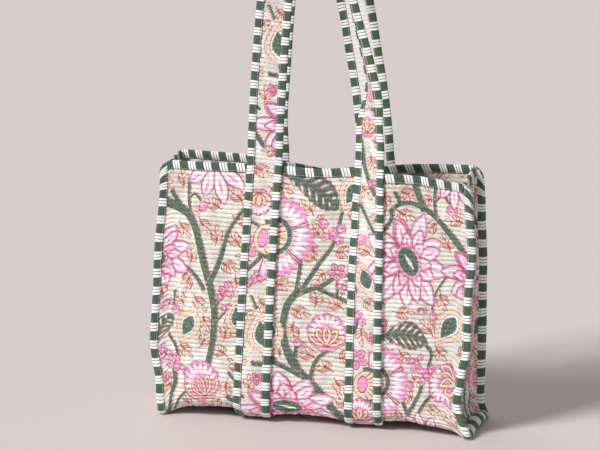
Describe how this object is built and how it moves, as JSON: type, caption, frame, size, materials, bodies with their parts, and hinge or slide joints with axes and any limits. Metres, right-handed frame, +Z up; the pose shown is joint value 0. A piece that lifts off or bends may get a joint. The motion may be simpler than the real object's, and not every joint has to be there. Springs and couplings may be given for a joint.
{
  "type": "knitting bag",
  "caption": "Quilted cotton knitting bag with a flat base, side gussets, bound edges and two long shoulder straps that fold down.",
  "frame": {"origin": "the middle of the footprint, on the surface that the bag stands on", "axes": "+X to the bag's right seen from its front, +Y from the front to the back, +Z up"},
  "size_m": [0.457, 0.1348, 0.7041],
  "materials": {
    "floral_cotton": "quilted cotton with a floral print",
    "white_cotton": "plain woven cotton",
    "striped_tape": "green and white striped cotton binding",
    "cotton_wadding": "soft fibre wadding"
  },
  "bodies": {
    "bag": {"body_print": "floral_cotton", "body_wadding": "cotton_wadding", "body_lining": "floral_cotton", "gusset_left_print": "floral_cotton", "gusset_left_wadding": "cotton_wadding", "gusset_left_lining": "floral_cotton", "gusset_right_print": "floral_cotton", "gusset_right_wadding": "cotton_wadding", "gusset_right_lining": "floral_cotton", "rim_binding_front": "striped_tape", "rim_binding_back": "striped_tape", "rim_binding_left": "striped_tape", "rim_binding_right": "striped_tape", "seam_binding_front_left": "striped_tape", "seam_binding_front_right": "striped_tape", "seam_binding_base_left": "striped_tape", "seam_binding_base_right": "striped_tape", "seam_binding_back_left": "striped_tape", "seam_binding_back_right": "striped_tape", "strap_front_left_print": "floral_cotton", "strap_front_left_wadding": "cotton_wadding", "strap_front_left_lining": "white_cotton", "strap_front_left_inner_binding": "striped_tape", "strap_front_left_outer_binding": "striped_tape", "strap_front_right_print": "floral_cotton", "strap_front_right_wadding": "cotton_wadding", "strap_front_right_lining": "white_cotton", "strap_front_right_inner_binding": "striped_tape", "strap_front_right_outer_binding": "striped_tape", "strap_back_left_print": "floral_cotton", "strap_back_left_wadding": "cotton_wadding", "strap_back_left_lining": "white_cotton", "strap_back_left_inner_binding": "striped_tape", "strap_back_left_outer_binding": "striped_tape", "strap_back_right_print": "floral_cotton", "strap_back_right_wadding": "cotton_wadding", "strap_back_right_lining": "white_cotton", "strap_back_right_inner_binding": "striped_tape", "strap_back_right_outer_binding": "striped_tape"},
    "handle_front": {"handle_front_print": "floral_cotton", "handle_front_wadding": "cotton_wadding", "handle_front_lining": "white_cotton", "handle_front_inner_binding": "striped_tape", "handle_front_outer_binding": "striped_tape"},
    "handle_back": {"handle_back_print": "floral_cotton", "handle_back_wadding": "cotton_wadding", "handle_back_lining": "white_cotton", "handle_back_inner_binding": "striped_tape", "handle_back_outer_binding": "striped_tape"}
  },
  "joints": [
    {"name": "front_handle_fold", "type": "hinge", "parent": "bag", "child": "handle_front", "pos_m": [0, -0.0406, 0.3564], "axis": [1, 0, 0], "range_deg": [0, 160]},
    {"name": "back_handle_fold", "type": "hinge", "parent": "bag", "child": "handle_back", "pos_m": [0, 0.0406, 0.3564], "axis": [-1, 0, 0], "range_deg": [0, 170]}
  ]
}
